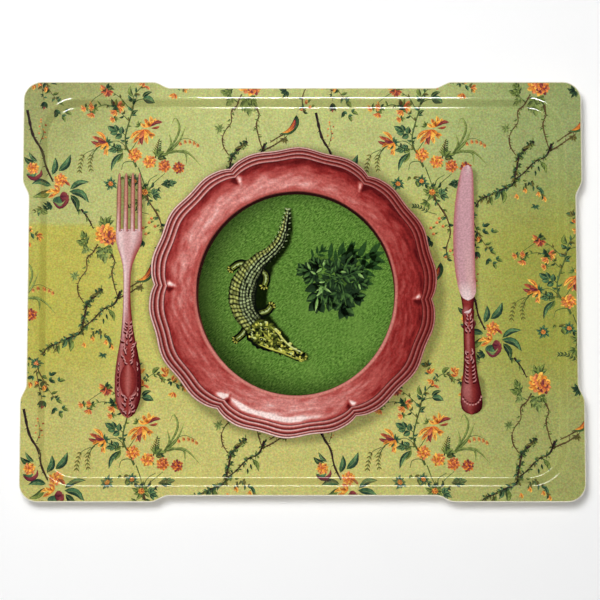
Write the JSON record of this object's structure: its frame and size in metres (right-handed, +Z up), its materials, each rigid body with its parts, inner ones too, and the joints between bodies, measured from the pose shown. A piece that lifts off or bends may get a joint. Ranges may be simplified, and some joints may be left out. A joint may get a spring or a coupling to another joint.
{
  "type": "serving tray",
  "caption": "Rectangular pressed laminate serving tray with a raised flat rim, a finger grip stepped into the middle of each side, and a glossy printed place-setting picture.",
  "frame": {"origin": "on the table, under the middle of the tray", "axes": "+X along the long side, towards the picture's knife; +Y along the short side, towards the picture's top; +Z up out of the well"},
  "size_m": [0.46, 0.345, 0.015],
  "materials": {
    "clear_overlay": "clear high-gloss wear layer",
    "printed_sheet": "printed decor paper under gloss",
    "moulded_core": "pale satin cut edge",
    "backing_sheet": "plain pale satin underside"
  },
  "bodies": {
    "root": {"clear_overlay": "clear_overlay", "printed_sheet": "printed_sheet", "moulded_core": "moulded_core", "backing_sheet": "backing_sheet"}
  },
  "joints": []
}
